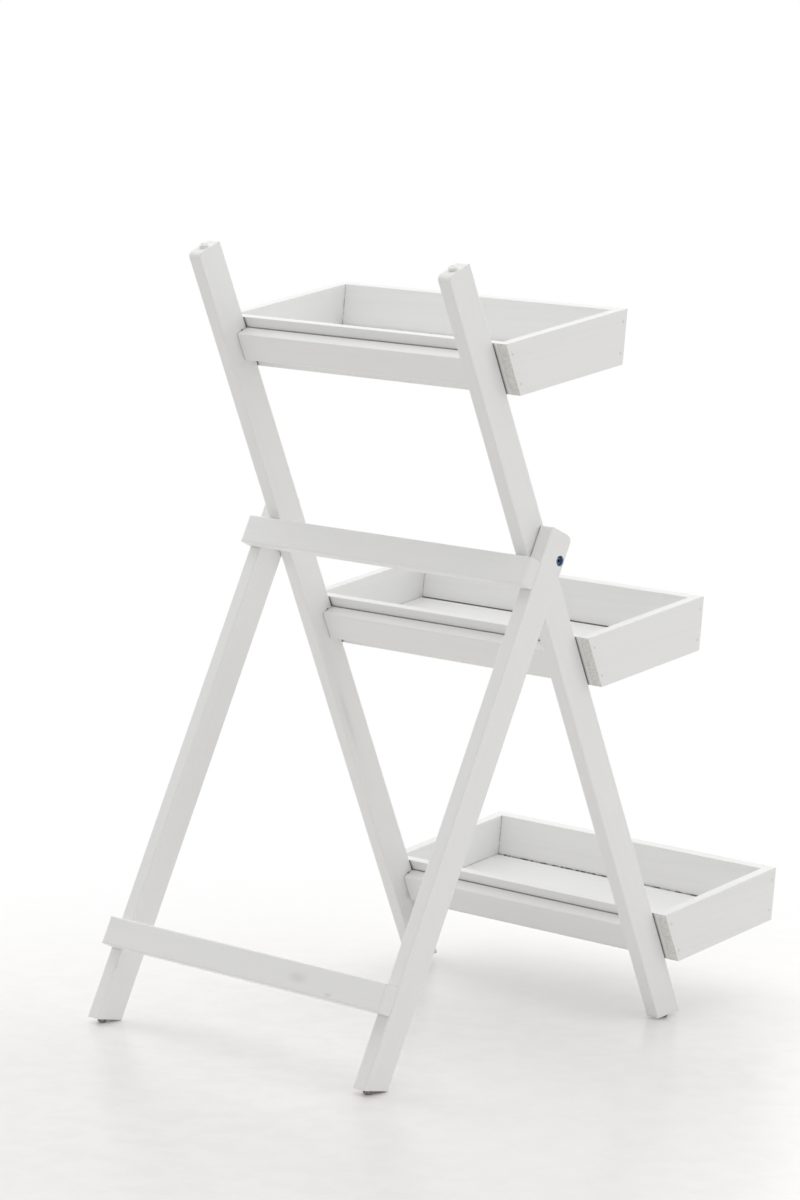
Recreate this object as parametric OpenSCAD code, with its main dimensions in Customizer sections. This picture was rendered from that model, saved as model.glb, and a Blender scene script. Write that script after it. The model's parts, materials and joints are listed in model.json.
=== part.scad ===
// Folding plant ladder with three shallow trays.
// Two leaning stiles carry the trays on cross rails. A rear frame of two legs and two bars
// swings out behind them on a pair of pivot bolts, until its upper bar meets the stiles.
// X runs across the ladder, the trays face -Y and Z points up. Sizes are in millimetres.

/* [Timber] */
// Front-to-back depth of the stiles and the rear legs
timber_depth = 40; // [36:1:48]
// Thickness of the stiles and the rear legs across the ladder
timber_width = 20; // [17:1:26]
// Radius on the long edges of the stiles, legs, rails and bars
edge_radius = 2; // [0.5:0.5:4]
// Radius on the rear corner at the top end of each stile
stile_end_radius = 8; // [3:0.5:12]
// Radius on the front corner at the top end of each rear leg
leg_end_radius = 10; // [3:0.5:14]
// Radius on the other corner at each of those top ends
small_end_radius = 3; // [1:0.5:6]
// Radius on the upright edges at the ends of the bars
bar_end_radius = 4; // [1:0.5:6]

/* [Front ladder] */
// Width over the outer faces of the two stiles
ladder_width = 448; // [380:4:560]
// Length of a stile along its rear face
stile_length = 1042; // [1000:2:1150]
// Lean of the stiles from the vertical, in degrees
stile_lean = 23.3; // [20:0.1:28]
// Slope of a stile's foot cut from square, in degrees
stile_foot_cut = 16.4; // [11:0.1:20]

/* [Rear frame] */
// Angle between the stiles and the rear legs when the ladder stands open, in degrees
open_angle = 48.7; // [42:0.1:54]
// Slope of a rear leg's foot cut from square, in degrees
leg_foot_cut = 15; // [12:0.1:23]
// Height of the pivot along the stile, from its lower rear corner
pivot_height = 649; // [580:1:720]
// Distance from the pivot axis to the front face of the stile
pivot_inset = 9.5; // [9.5:0.5:14]
// Length of a rear leg above the pivot axis
leg_above_pivot = 33; // [24:1:50]
// Gap between a stile and its rear leg, filled by a washer
leg_gap = 0.5; // [0.5:0.25:3]
// Height of a bar's section, along the leg
bar_height = 36; // [30:1:50]
// Thickness of a bar
bar_thickness = 20; // [15:1:24]
// Distance from a rear leg's lower rear corner up to the lower bar
lower_bar_height = 92; // [60:1:200]
// Gap between the upper bar and the stiles where the open frame rests against them
stop_gap = 0.3; // [0.2:0.1:0.5]
// Gap between the bars and the stiles when the frame is folded flat
fold_gap = 1; // [0.5:0.25:2]

/* [Tray rails] */
// Height of the lowest rail's top edge along the stile
first_rail_height = 119; // [100:0.5:150]
// Spacing of the trays along the stiles
tray_pitch = 401.5; // [340:0.5:410]
// Height of a rail's section, along the stile
rail_height = 37; // [32:1:44]
// Thickness of a rail
rail_thickness = 20; // [16:1:24]
// How far a rail stands out in front of the stiles, which leaves a thin gap behind the tray
rail_proud = 1.5; // [0.5:0.25:3]

/* [Trays] */
// Width over the outer faces of a tray
tray_width = 488; // [450:2:620]
// Depth of a tray along its lower edge
tray_depth = 184; // [140:2:240]
// Height of a tray, square to its lower edge
tray_height = 66; // [56:1:80]
// Upward tilt of a tray towards its front, in degrees
tray_tilt = 8.5; // [0:0.1:12]
// Outward slope of the front board, in degrees
front_slope = 14; // [4:0.5:24]
// Height of a tray's rear top edge above its rail, along the stile
tray_rise = 14; // [6:0.5:18]
// Thickness of the side boards
side_thickness = 15; // [10:0.5:18]
// Thickness of the front board
front_thickness = 12; // [9:0.5:16]
// Thickness of the rear board
rear_thickness = 12; // [9:0.5:16]
// Thickness of the floor board
floor_thickness = 10; // [6:0.5:12]
// Height of the floor board's underside above the tray's lower edge
floor_inset = 5; // [2:0.5:8]
// Shrinkage gap between the floor board and the front board
floor_gap = 3; // [0.5:0.25:5]

/* [Fixings] */
// Diameter of the pivot bolts
bolt_d = 6; // [5:0.5:8]
// Diameter of a pivot bolt's head
bolt_head_d = 9.5; // [9:0.5:10]
// Height of a pivot bolt's head
bolt_head_height = 3; // [2:0.5:4]
// Width across the flats of the socket in a pivot bolt's head
bolt_socket = 4; // [3:0.5:5]
// Depth of the recess for a bolt head in the leg's outer face
recess_depth = 6; // [5:0.25:8]
// Diameter of that recess
recess_d = 13; // [12.5:0.25:15]
// Wall of the dark cup that lines the recess
cup_wall = 0.8; // [0.5:0.1:1]
// Diameter of the threaded inserts that take the pivot bolts in the stiles
insert_d = 10; // [10:0.5:11.5]
// Length of those inserts
insert_length = 13; // [10:1:15]
// Diameter of the washers between the stiles and the legs
washer_d = 16; // [12:0.5:18]
// Diameter of the dowels in the rail and bar joints
dowel_d = 8; // [6:0.5:9]
// Spacing of the two dowels in a joint
dowel_spacing = 18; // [14:1:20]
// Depth of a dowel in a stile or a bar
dowel_short = 12; // [8:0.5:13]
// Depth of a dowel in a rail or a leg
dowel_long = 20; // [14:0.5:24]
// Diameter of the pilot hole left open at a rail's top edge
pilot_d = 3.5; // [2:0.5:4.5]
// Depth of that pilot hole
pilot_depth = 8; // [4:0.5:12]
// Diameter of the screws that hold a tray to its rail
screw_d = 4; // [3:0.5:5]
// Diameter of a countersunk screw head
screw_head_d = 8; // [7:0.5:10]
// Length of a tray screw
screw_length = 26; // [20:1:27]
// Spacing of the tray screws along a rail
screw_spacing = 150; // [80:5:170]
// Diameter of the nails in the tray corners
nail_d = 1.8; // [1.2:0.1:2.4]
// Diameter of a nail's head
nail_head_d = 3.6; // [2.6:0.1:4]
// Length of a nail
nail_length = 38; // [25:1:50]
// Distance of the nails from a tray's upper and lower edges
nail_inset = 14; // [8:1:20]
// Diameter of the floor glides
glide_d = 11; // [9:0.5:15]
// Height of a glide's face at its middle
glide_height = 5; // [4:0.25:6.5]
// Radius of a glide's domed face
glide_dome = 20; // [16:1:30]
// Depth of the flat worn on each glide by the floor
glide_flat = 0.3; // [0.1:0.05:0.5]
// Diameter of a glide's nail
glide_pin_d = 2; // [1.5:0.1:3]
// Length of a glide's nail in the wood
glide_pin = 12; // [8:1:18]
// Distance of a rear leg's glide behind the middle of its foot
leg_glide_offset = 4; // [0:0.5:6]

/* [Hidden] */
$fn = 48;
fit_clear = 0.05;
head_clear = 0.2;
cup_sink = 0.5;
cup_floor = 1;
nail_head = 0.8;
insert_clear = 1;
arc_steps = 4;
white = "#f2f2ef";
dark_metal = "#2b3340";
zinc = "#b9bcc0";
beech = "#d8b98c";

// across the ladder
stile_out = ladder_width / 2;
stile_in = stile_out - timber_width;
leg_in = stile_out + leg_gap;
leg_out = leg_in + timber_width;
tray_out = tray_width / 2;
tray_in = tray_out - side_thickness;

// pivot and upper bar, measured square to the timber
leg_lean = open_angle - stile_lean;
leg_inset = pivot_inset - fold_gap;
stile_behind = timber_depth - pivot_inset;
leg_behind = timber_depth - leg_inset;
upper_bar_drop = (stile_behind + stop_gap - leg_behind * cos(open_angle)) / sin(open_angle);

// height of a foot's middle above the floor, when its glide stands flat on the floor
function foot_rise(tip) = glide_dome - glide_flat - (glide_dome - glide_height) * cos(tip);

// the stiles' own frame has Y = 0 on their rear faces and Z = 0 at their lower rear corners
stile_foot_z = -timber_depth / 2 * tan(stile_foot_cut);
stile_lift = foot_rise(stile_lean - stile_foot_cut) - timber_depth / 2 * sin(stile_lean) - stile_foot_z * cos(stile_lean);
function stile_y(y, z) = y * cos(stile_lean) + z * sin(stile_lean);
function stile_z(y, z) = stile_lift - y * sin(stile_lean) + z * cos(stile_lean);

// the legs' own frame has its origin on the pivot axis
pivot_y = stile_y(-stile_behind, pivot_height);
pivot_z = stile_z(-stile_behind, pivot_height);
leg_glide_y = timber_depth / 2 - leg_inset + leg_glide_offset;
leg_reach = (pivot_z + leg_glide_y * sin(leg_lean) - foot_rise(leg_lean - leg_foot_cut)) / cos(leg_lean);
leg_foot_front = -leg_reach + (leg_inset + leg_glide_y) * tan(leg_foot_cut);
leg_foot_rear = -leg_reach - (leg_behind - leg_glide_y) * tan(leg_foot_cut);
lower_bar_low = leg_foot_rear + lower_bar_height;

// trays: the rear board lies along the rails, and the tray's own frame has its origin at the
// lower rear edge, with -Y forward along the tray's lower edge
rear_slope = stile_lean - tray_tilt;
tray_back = timber_depth + rail_proud;
rear_reach = rear_thickness / cos(rear_slope);
front_reach = front_thickness / cos(front_slope);
LEVELS = ["bottom", "middle", "top"];
function rail_top(level) = first_rail_height + level * tray_pitch;
function tray_low(level) = rail_top(level) + tray_rise - tray_height / cos(rear_slope);
function rear_face(z) = z * tan(rear_slope);
function front_face(z) = -tray_depth - z * tan(front_slope);
floor_low = floor_inset;
floor_top = floor_inset + floor_thickness;
tray_front_y = stile_y(-tray_back, tray_low(0)) + front_face(tray_height) * cos(tray_tilt) + tray_height * sin(tray_tilt);
leg_rear_y = pivot_y + leg_behind * cos(leg_lean) - leg_foot_rear * sin(leg_lean);
shift_y = -(tray_front_y + leg_rear_y) / 2;

// a corner of a convex outline, rounded to radius r
function corner(p, a, b, r) = let(
    u = (a - p) / norm(a - p),
    v = (b - p) / norm(b - p),
    half = acos(u * v) / 2,
    c = p + (u + v) / norm(u + v) * r / sin(half),
    s = p + u * r / tan(half) - c,
    e = p + v * r / tan(half) - c,
    start = atan2(s.y, s.x),
    turn = (atan2(e.y, e.x) - start + 540) % 360 - 180)
    [for (i = [0:arc_steps]) c + r * [cos(start + turn * i / arc_steps), sin(start + turn * i / arc_steps)]];
function rounded(points, radii) = let(n = len(points))
    [for (i = [0:n - 1]) each corner(points[i], points[(i + n - 1) % n], points[(i + 1) % n], radii[i])];
function block(y0, y1, z0, z1) = [[y0, z0], [y1, z0], [y1, z1], [y0, z1]];
function even(r) = [r, r, r, r];

// places children that are drawn in the stiles' own frame
module on_stiles() {
    translate([0, shift_y, stile_lift]) rotate([-stile_lean, 0, 0]) children();
}

// places children that are drawn in the legs' own frame
module on_legs() {
    translate([0, shift_y + pivot_y, pivot_z]) rotate([leg_lean, 0, 0]) children();
}

// places children that are drawn in one tray's own frame
module on_tray(level) {
    on_stiles() translate([0, -tray_back, tray_low(level)]) rotate([rear_slope, 0, 0]) children();
}

// a bar along X between two X values, with the given section in Y and Z
module across(x0, x1, section) {
    translate([x0, 0, 0]) rotate([90, 0, 90]) linear_extrude(x1 - x0) polygon(section);
}

// a straight rod along X between two X values
module rod(x0, x1, r) {
    translate([x0, 0, 0]) rotate([0, 90, 0]) cylinder(r = r, h = x1 - x0);
}

// upright timber between two X values: outline gives its ends, and its long edges are rounded
module upright(x0, x1, outline, y0, y1, z0, z1) {
    intersection() {
        across(x0, x1, outline);
        translate([0, 0, z0]) linear_extrude(z1 - z0) polygon(rounded(block(x0, x1, y0, y1), even(edge_radius)));
    }
}

// glide with its face pointing down and its nail pointing up, at the middle of an end face
module glide() {
    intersection() {
        translate([0, 0, -glide_height]) cylinder(d = glide_d, h = glide_height);
        translate([0, 0, glide_dome - glide_height]) sphere(glide_dome, $fn = 96);
    }
    translate([0, 0, -0.5]) cylinder(d = glide_pin_d, h = glide_pin + 0.5);
}

// hole for a glide's nail
module glide_hole() {
    translate([0, 0, -1]) cylinder(d = glide_pin_d + 2 * fit_clear, h = glide_pin + 1 + head_clear);
}

module at_stile_foot(x) {
    translate([x, -timber_depth / 2, stile_foot_z]) rotate([stile_foot_cut, 0, 0]) children();
}

module at_stile_top(x) {
    translate([x, -timber_depth / 2, stile_length]) rotate([180, 0, 0]) children();
}

module at_leg_foot(x) {
    translate([x, leg_glide_y, -leg_reach]) rotate([-leg_foot_cut, 0, 0]) children();
}

// everything below the floor
module under_floor() {
    translate([-tray_width, -stile_length, -50]) cube([2 * tray_width, 2 * stile_length, 50]);
}

// the dowels of the rail joints on one side, each grown by gap
module side_rail_dowels(side, gap) {
    for (level = [0:2]) for (k = [-0.5, 0.5])
        translate([side * stile_in, rail_thickness / 2 - tray_back, rail_top(level) - rail_height / 2 + k * dowel_spacing])
            mirror([side < 0 ? 1 : 0, 0, 0])
                rod(-dowel_long - 2 * gap, dowel_short + 2 * gap, dowel_d / 2 + gap);
}

// the pilot holes beside the rails' top edges
module pilot_holes(side) {
    for (level = [0:2])
        translate([side * stile_in, rail_thickness / 2 - tray_back, rail_top(level)])
            mirror([side < 0 ? 1 : 0, 0, 0]) rod(-1, pilot_depth, pilot_d / 2);
}

// one stile; side is -1 on the left and 1 on the right, as seen from the trays
module stile(side) {
    x0 = side < 0 ? -stile_out : stile_in;
    foot = -timber_depth * tan(stile_foot_cut);
    outline = [[-timber_depth, foot], [0, 0], [0, stile_length], [-timber_depth, stile_length]];
    color(white) on_stiles() difference() {
        upright(x0, x0 + timber_width, rounded(outline, [0.8, 0.8, stile_end_radius, small_end_radius]),
                -timber_depth, 0, foot - 1, stile_length + 1);
        side_rail_dowels(side, fit_clear);
        pilot_holes(side);
        translate([0, -stile_behind, pivot_height]) {
            mirror([side < 0 ? 1 : 0, 0, 0])
                rod(stile_out - insert_length - insert_clear, stile_out + 1, insert_d / 2 + fit_clear);
        }
        at_stile_foot(side * (stile_in + timber_width / 2)) glide_hole();
        at_stile_top(side * (stile_in + timber_width / 2)) glide_hole();
    }
}

// the screws that hold one tray, drawn in the stiles' frame, each grown by gap
module level_screws(level, gap) {
    for (k = [-1, 0, 1])
        translate([k * screw_spacing, -tray_back - rear_thickness, rail_top(level) - rail_height / 2]) rotate([-90, 0, 0]) {
            cylinder(d1 = screw_head_d + 2 * gap, d2 = screw_d + 2 * gap, h = (screw_head_d - screw_d) / 2);
            cylinder(d = screw_d + 2 * gap, h = screw_length + gap);
        }
}

module tray_rail(level) {
    top = rail_top(level);
    color(white) on_stiles() difference() {
        across(-stile_in, stile_in,
               rounded(block(-tray_back, rail_thickness - tray_back, top - rail_height, top), even(edge_radius)));
        side_rail_dowels(-1, fit_clear);
        side_rail_dowels(1, fit_clear);
        level_screws(level, fit_clear);
    }
}

// the nails of one tray in the tray's own frame, each grown by gap
module level_nails(side, gap) {
    for (z = [nail_inset, tray_height - nail_inset])
        for (y = [rear_face(z) - rear_reach / 2, front_face(z) + front_reach / 2])
            translate([side * tray_out, y, z]) mirror([side < 0 ? 1 : 0, 0, 0]) {
                rod(-nail_length - 2 * gap, 0, nail_d / 2 + gap);
                rod(-nail_head - gap, 0, nail_head_d / 2 + gap);
            }
}

module tray_side(level, side) {
    x0 = side < 0 ? -tray_out : tray_in;
    outline = [[front_face(0), 0], [0, 0], [rear_face(tray_height), tray_height], [front_face(tray_height), tray_height]];
    color(white) on_tray(level) difference() {
        across(x0, x0 + side_thickness, outline);
        level_nails(side, fit_clear);
    }
}

module tray_front(level) {
    h = tray_height;
    color(white) on_tray(level) difference() {
        across(-tray_in, tray_in, [[front_face(0), 0], [front_face(0) + front_reach, 0],
                                   [front_face(h) + front_reach, h], [front_face(h), h]]);
        level_nails(-1, fit_clear);
        level_nails(1, fit_clear);
    }
}

module tray_rear(level) {
    h = tray_height;
    color(white) difference() {
        on_tray(level) difference() {
            across(-tray_in, tray_in, [[-rear_reach, 0], [0, 0], [rear_face(h), h], [rear_face(h) - rear_reach, h]]);
            level_nails(-1, fit_clear);
            level_nails(1, fit_clear);
        }
        on_stiles() level_screws(level, fit_clear);
    }
}

module tray_floor(level) {
    front_low = front_face(floor_low) + front_reach + floor_gap;
    front_top = front_face(floor_top) + front_reach + floor_gap;
    color(white) on_tray(level)
        across(-tray_in, tray_in, [[front_low, floor_low], [rear_face(floor_low) - rear_reach, floor_low],
                                   [rear_face(floor_top) - rear_reach, floor_top], [front_top, floor_top]]);
}

// the dowels of the bar joints on one side, each grown by gap
module side_bar_dowels(side, gap) {
    for (z = [-upper_bar_drop - bar_height / 2, lower_bar_low + bar_height / 2]) for (k = [-0.5, 0.5])
        translate([side * (leg_in + timber_width / 2), leg_behind - dowel_long - 2 * gap, z + k * dowel_spacing])
            rotate([-90, 0, 0]) cylinder(r = dowel_d / 2 + gap, h = dowel_long + dowel_short + 4 * gap);
}

module rear_leg(side) {
    x0 = side < 0 ? -leg_out : leg_in;
    outline = [[-leg_inset, leg_foot_front], [leg_behind, leg_foot_rear],
               [leg_behind, leg_above_pivot], [-leg_inset, leg_above_pivot]];
    color(white) on_legs() difference() {
        upright(x0, x0 + timber_width, rounded(outline, [0.8, 0.8, small_end_radius, leg_end_radius]),
                -leg_inset, leg_behind, leg_foot_rear - 1, leg_above_pivot + 1);
        side_bar_dowels(side, fit_clear);
        rod(x0 - 1, x0 + timber_width + 1, bolt_d / 2 + fit_clear);
        mirror([side < 0 ? 1 : 0, 0, 0]) rod(leg_out - recess_depth, leg_out + 1, recess_d / 2);
        at_leg_foot(side * (leg_in + timber_width / 2)) glide_hole();
    }
}

module cross_bar(low) {
    behind = leg_behind + bar_thickness;
    color(white) on_legs() difference() {
        intersection() {
            across(-leg_out, leg_out,
                   rounded(block(leg_behind, behind, low, low + bar_height), even(edge_radius)));
            translate([0, 0, low - 1]) linear_extrude(bar_height + 2)
                polygon(rounded([[-leg_out, leg_behind - 1], [leg_out, leg_behind - 1], [leg_out, behind], [-leg_out, behind]],
                                [0.3, 0.3, bar_end_radius, bar_end_radius]));
        }
        side_bar_dowels(-1, fit_clear);
        side_bar_dowels(1, fit_clear);
    }
}

// dark cups pressed into the recesses of the legs
module pivot_cups() {
    color(dark_metal) on_legs() for (m = [0, 1]) mirror([m, 0, 0]) difference() {
        rod(leg_out - recess_depth, leg_out - cup_sink, recess_d / 2);
        rod(leg_out - recess_depth + cup_floor, leg_out, recess_d / 2 - cup_wall);
        rod(leg_in, leg_out, bolt_d / 2 + fit_clear);
    }
}

// bolts with their heads in the cups and their threads in the inserts
module pivot_bolts() {
    seat = leg_out - recess_depth + cup_floor + head_clear;
    color(dark_metal) on_legs() for (m = [0, 1]) mirror([m, 0, 0]) difference() {
        union() {
            rod(seat, seat + bolt_head_height, bolt_head_d / 2);
            rod(stile_out - insert_length + insert_clear, seat + 0.1, bolt_d / 2);
        }
        translate([seat + bolt_head_height * 0.35, 0, 0]) rotate([0, 90, 0])
            cylinder(d = bolt_socket / cos(30), h = bolt_head_height, $fn = 6);
    }
}

module pivot_washers() {
    color(zinc) on_legs() for (m = [0, 1]) mirror([m, 0, 0]) difference() {
        rod(stile_out, leg_in, washer_d / 2);
        rod(stile_out - 1, leg_in + 1, bolt_d / 2 + fit_clear);
    }
}

// threaded inserts, flush with the stiles' outer faces
module pivot_inserts() {
    color(zinc) on_stiles() translate([0, -stile_behind, pivot_height]) for (m = [0, 1]) mirror([m, 0, 0]) difference() {
        rod(stile_out - insert_length, stile_out, insert_d / 2);
        rod(stile_out - insert_length - 1, stile_out + 1, bolt_d / 2 + fit_clear);
    }
}

module rail_dowels() {
    color(beech) on_stiles() for (side = [-1, 1]) side_rail_dowels(side, 0);
}

module bar_dowels() {
    color(beech) on_legs() for (side = [-1, 1]) side_bar_dowels(side, 0);
}

module tray_screws() {
    color(zinc) on_stiles() for (level = [0:2]) level_screws(level, 0);
}

module tray_nails() {
    color(zinc) for (level = [0:2]) on_tray(level) for (side = [-1, 1]) level_nails(side, 0);
}

module ladder_foot_glides() {
    color(white) difference() {
        on_stiles() for (side = [-1, 1]) at_stile_foot(side * (stile_in + timber_width / 2)) glide();
        under_floor();
    }
}

module rear_foot_glides() {
    color(white) difference() {
        on_legs() for (side = [-1, 1]) at_leg_foot(side * (leg_in + timber_width / 2)) glide();
        under_floor();
    }
}

module top_glides() {
    color(white) on_stiles() for (side = [-1, 1]) at_stile_top(side * (stile_in + timber_width / 2)) glide();
}

stile(-1);  // stile_left
stile(1);  // stile_right
for (level = [0:2]) tray_rail(level);
for (level = [0:2]) {
    tray_side(level, -1);
    tray_side(level, 1);
    tray_front(level);
    tray_rear(level);
    tray_floor(level);
}
rear_leg(-1);  // rear_leg_left
rear_leg(1);  // rear_leg_right
cross_bar(-upper_bar_drop - bar_height);  // upper_bar
cross_bar(lower_bar_low);  // lower_bar
pivot_bolts();
pivot_cups();
pivot_washers();
pivot_inserts();
rail_dowels();
bar_dowels();
tray_screws();
tray_nails();
ladder_foot_glides();
rear_foot_glides();
top_glides();
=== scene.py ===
"""Folding plant ladder stand with three trays, dressed for a studio picture.

The timber and the tray boards are softwood under one coat of white silk-matt paint. The fixings,
the cups round the pivot bolts and the glides are turned or milled shapes worked out here.
"""

import json
import math

import bpy
import numpy as np
from bpy.props import FloatProperty, FloatVectorProperty, IntProperty, PointerProperty
from mathutils import Matrix, Vector

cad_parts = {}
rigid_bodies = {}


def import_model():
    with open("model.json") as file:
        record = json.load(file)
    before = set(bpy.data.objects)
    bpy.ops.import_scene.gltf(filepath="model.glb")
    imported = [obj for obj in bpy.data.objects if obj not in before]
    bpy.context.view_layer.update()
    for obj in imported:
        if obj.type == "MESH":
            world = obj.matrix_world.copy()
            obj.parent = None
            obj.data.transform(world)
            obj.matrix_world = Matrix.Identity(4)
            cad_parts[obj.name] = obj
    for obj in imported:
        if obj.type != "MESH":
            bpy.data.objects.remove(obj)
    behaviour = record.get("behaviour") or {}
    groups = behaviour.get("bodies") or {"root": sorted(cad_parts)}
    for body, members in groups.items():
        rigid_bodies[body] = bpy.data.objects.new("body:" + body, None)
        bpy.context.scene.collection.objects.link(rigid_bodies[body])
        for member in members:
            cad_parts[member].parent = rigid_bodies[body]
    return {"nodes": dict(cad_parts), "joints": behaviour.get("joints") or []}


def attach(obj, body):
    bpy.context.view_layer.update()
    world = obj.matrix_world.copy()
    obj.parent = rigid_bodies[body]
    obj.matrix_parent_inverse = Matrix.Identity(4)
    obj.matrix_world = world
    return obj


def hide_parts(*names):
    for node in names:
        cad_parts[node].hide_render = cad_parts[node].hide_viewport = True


bl_info = {
    "name": "Plant ladder stand",
    "version": (1, 0, 0),
    "blender": (4, 5, 0),
    "location": "View3D > Sidebar > Plant ladder",
    "description": "Paints and fits out a folding plant ladder with three trays",
    "category": "Object",
}

for leftover in list(bpy.data.objects):
    bpy.data.objects.remove(leftover)
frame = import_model()
bpy.context.view_layer.update()

# a point on the axis of the one hinge, half way between the two pivot bolts
PIVOT = np.array(frame["joints"][0]["pos_m"], float)
LEVELS = ("bottom", "middle", "top")
MM = 0.001


def linear(code):
    """Turns an sRGB hex colour into the linear RGBA that Blender works in."""
    parts = [int(code[i : i + 2], 16) / 255 for i in (1, 3, 5)]
    return tuple(c / 12.92 if c <= 0.04045 else ((c + 0.055) / 1.055) ** 2.4 for c in parts) + (1.0,)


def colour(name, description, code):
    """A colour property whose default is an sRGB hex code."""
    return FloatVectorProperty(
        name=name, description=description, subtype="COLOR", size=4, min=0, max=1, default=linear(code)
    )


def length(name, description, default):
    """A length property whose default is in metres."""
    return FloatProperty(name=name, description=description, default=default, unit="LENGTH", precision=4)


def angle(name, description, degrees):
    """An angle property whose default is given in degrees."""
    return FloatProperty(
        name=name, description=description, default=math.radians(degrees), unit="ROTATION", subtype="ANGLE"
    )


def power(name, description, watts):
    """A lamp's power, in watts."""
    return FloatProperty(name=name, description=description, default=watts, min=0, unit="POWER")


class LadderSizes(bpy.types.PropertyGroup):
    """Sizes that place the fixings, the same as in the part's source."""

    stile_lean: angle("Stile lean", "Lean of the stiles from the vertical", 23.3)
    stile_out: length("Stile outer face", "Distance of a stile's outer face from the middle", 0.224)
    timber_width: length("Timber width", "Thickness of a stile or a leg across the ladder", 0.020)
    timber_depth: length("Timber depth", "Depth of a stile or a leg from front to back", 0.040)
    stile_length: length("Stile length", "Length of a stile along its rear face", 1.042)
    stile_foot_cut: angle("Stile foot cut", "Slope of a stile's foot from square", 16.4)
    pivot_height: length("Pivot height", "Height of the pivot along the stile", 0.649)
    pivot_inset: length("Pivot inset", "Distance of the pivot from the stile's front face", 0.0095)
    leg_gap: length("Leg gap", "Gap between a stile and its leg", 0.0005)
    recess_depth: length("Recess depth", "Depth of the recess for the cup in a leg's outer face", 0.006)
    leg_lean: angle("Leg lean", "Lean of the rear legs from the vertical", 25.4)
    leg_reach: length("Leg reach", "Length from the pivot to the middle of a leg's glide", 0.67764)
    leg_glide: length("Leg glide", "Distance of a leg's glide behind the pivot, across the leg", 0.0155)
    leg_foot_cut: angle("Leg foot cut", "Slope of a leg's foot from square", 15.0)
    tray_tilt: angle("Tray tilt", "Upward tilt of the trays towards their front", 8.5)
    first_rail: length("First rail", "Height of the lowest rail's top edge along the stile", 0.119)
    tray_pitch: length("Tray pitch", "Spacing of the trays along the stiles", 0.4015)
    rail_height: length("Rail height", "Height of a rail's section", 0.037)
    rail_face: length("Rail face", "Distance of a rail's front face from the stile's rear face", 0.0415)
    floor_level: length("Floor level", "Height of the lowest tray's floor, square to that floor", 0.0647)


class LadderPaint(bpy.types.PropertyGroup):
    """Colours and grain of the painted softwood."""

    white: colour("White paint", "Silk-matt white of the timber and boards", "#F3F3F2")
    thin_white: colour("Thin paint", "White where the coat is thin over the grain", "#E7E6E2")
    knot_stain: colour("Knot stain", "Resin that bleeds through the paint at a knot", "#B3A899")
    # painted shade: this grey is laid into the corners and joints where shade falls
    painted_shade: colour("Joint grime", "Grey that gathers in the corners and joints", "#B4B1AB")
    joint_line: colour("Joint line", "Dark open line along a dry joint", "#4A3D33")
    bare_wood: colour("Bare wood", "Softwood where the paint has chipped", "#B08A62")
    raw_edge: colour("Raw edge", "Unpainted sawn edge of a floor board", "#5A4636")
    end_grain: colour("End grain", "Paint that has sunk into the end grain", "#DAD8D2")
    ring_spacing: length("Ring spacing", "Distance between two growth rings", 0.009051)
    brush_spacing: length("Brush marks", "Distance between two brush marks", 0.0012)
    arris: length("Arris", "Radius to which sanding and paint round the sharp edges", 0.0008)


class LadderFixings(bpy.types.PropertyGroup):
    """Sizes and colours of the bolts, inserts, screws, nails and glides."""

    blue_black: colour("Blued steel", "Blue passivated steel of the pivot bolts", "#6685A8")
    # painted shade: this dark blue stands for the shade deep in each bolt's socket
    socket_shade_blue: colour("Socket blue", "Dark blue inside the bolts' sockets", "#22344F")
    cup_black: colour("Cup black", "Near-black of the cups round the bolt heads", "#1B1E23")
    # painted reflection: this bright blue-grey stands for light thrown back inside each cup
    cup_wall_reflection: colour("Cup wall", "Bright blue-grey inside the cups", "#C6D3E2")
    zinc: colour("Zinc plate", "Bright zinc on the screws, inserts and washers", "#C3C6CA")
    beech: colour("Beech", "Bare beech of the dowels", "#D9BC93")
    nail_paint: colour("Painted nail", "Paint over a nail head, slightly grey", "#E9E8E5")
    white_plastic: colour("White glide", "Glossy plastic of the glides on the stile tops", "#F4F4F2")
    worn_plastic: colour("Worn glide", "Scuffed grey-brown plastic of the floor glides", "#A29D94")
    thread_pitch: length("Thread pitch", "Pitch of the pivot bolts' thread", 0.001)
    screw_pitch: length("Screw pitch", "Pitch of the tray screws' thread", 0.0018)
    around: IntProperty(name="Steps round", description="Points round a turned piece", default=48, min=12)


class LadderStage(bpy.types.PropertyGroup):
    """The camera, the lamps and the floor."""

    azimuth: angle("Azimuth", "Direction from which the camera looks", 224.1997)
    elevation: angle("Elevation", "Angle of the camera above the horizon", 8.5162)
    roll: angle("Roll", "Turn of the camera about its own line of sight", 1.0608)
    distance: length("Distance", "Distance of the camera from its target", 5.6131)
    focal: FloatProperty(
        name="Focal length", description="For a 36 mm high picture", default=135.332, unit="CAMERA"
    )
    target: FloatVectorProperty(
        name="Target", description="Middle of the picture", default=(-0.00104, 0.08, 0.53659), unit="LENGTH"
    )
    floor_tone: colour("Floor", "Pale studio floor", "#F6F4F2")
    ambient: FloatProperty(name="Ambient", description="Strength of the light from all round", default=0.54)
    overhead: power("Overhead lamp", "Power of the large lamp above", 36.0)
    side: power("Side lamp", "Power of the lamp on the camera's side", 9.0)
    front: power("Front lamp", "Power of the lamp before the trays", 17.0)
    far: power("Far lamp", "Power of the high lamp on the far side", 6.0)
    right: power("Right lamp", "Power of the low lamp on the far side", 14.0)


# ---------------------------------------------------------------- places


def turn_x(a):
    """4x4 matrix that turns by angle a about X."""
    c, s = math.cos(a), math.sin(a)
    return np.array([[1, 0, 0, 0], [0, c, -s, 0], [0, s, c, 0], [0, 0, 0, 1.0]])


def move(x, y, z):
    """4x4 matrix that moves by (x, y, z)."""
    m = np.eye(4)
    m[:3, 3] = (x, y, z)
    return m


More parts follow.
